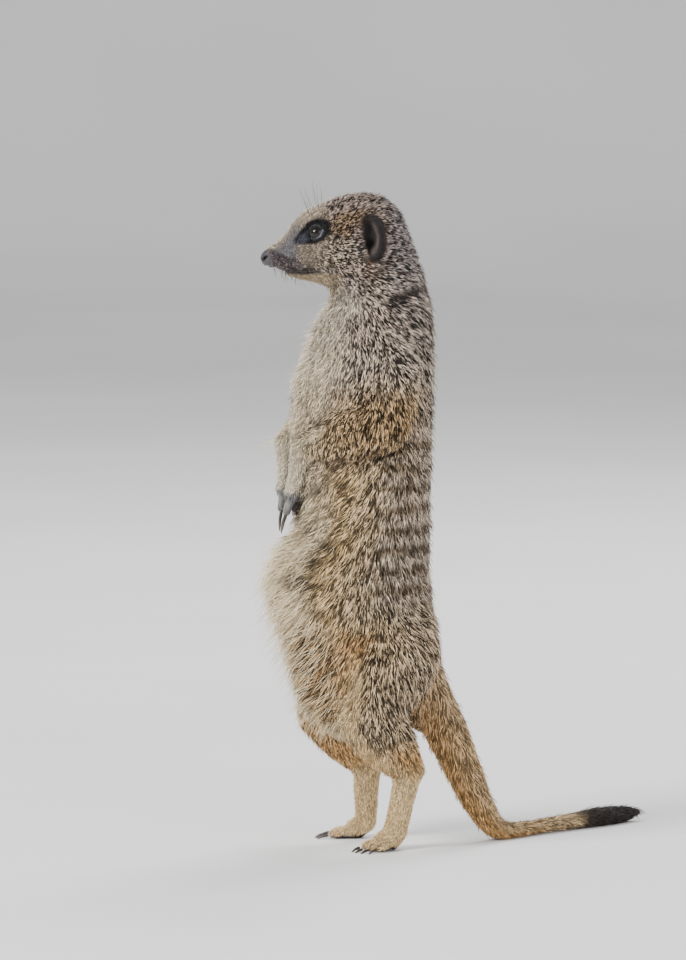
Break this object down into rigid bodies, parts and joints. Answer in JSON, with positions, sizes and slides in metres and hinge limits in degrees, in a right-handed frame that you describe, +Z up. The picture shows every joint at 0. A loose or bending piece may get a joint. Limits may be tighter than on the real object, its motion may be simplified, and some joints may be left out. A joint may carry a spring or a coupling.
{
  "type": "meerkat",
  "caption": "Life-size meerkat standing upright on its hind legs, looking ahead, forepaws hanging together before the belly and the tail laid back along the floor.",
  "frame": {"origin": "on the floor, under the middle of the box around the whole animal", "axes": "+Z up; the head faces -Y; the animal's left side is +X"},
  "size_m": [0.134, 0.1968, 0.3276],
  "materials": {
    "fur": "grizzled grey-buff short fur",
    "pale_fur": "pale cream short fur",
    "dark_fur": "dark brown short fur over dark skin",
    "eye": "wet glossy dark brown",
    "nose_skin": "moist finely pebbled skin",
    "claw": "semi-gloss horn"
  },
  "bodies": {
    "root": {"head": "fur", "lower_jaw": "pale_fur", "nose_pad": "nose_skin", "eye_left": "eye", "eye_right": "eye", "ear_left": "dark_fur", "ear_right": "dark_fur", "neck": "fur", "chest": "fur", "belly": "fur", "upper_arm_left": "fur", "forearm_left": "fur", "hand_left": "dark_fur", "hand_claw_left_1": "claw", "hand_claw_left_2": "claw", "hand_claw_left_3": "claw", "hand_claw_left_4": "claw", "upper_arm_right": "fur", "forearm_right": "fur", "hand_right": "dark_fur", "hand_claw_right_1": "claw", "hand_claw_right_2": "claw", "hand_claw_right_3": "claw", "hand_claw_right_4": "claw", "thigh_left": "fur", "shank_left": "fur", "foot_left": "pale_fur", "foot_claw_left_1": "claw", "foot_claw_left_2": "claw", "foot_claw_left_3": "claw", "foot_claw_left_4": "claw", "thigh_right": "fur", "shank_right": "fur", "foot_right": "pale_fur", "foot_claw_right_1": "claw", "foot_claw_right_2": "claw", "foot_claw_right_3": "claw", "foot_claw_right_4": "claw", "tail_base": "fur", "tail_middle": "fur", "tail_tip": "dark_fur"}
  },
  "joints": []
}
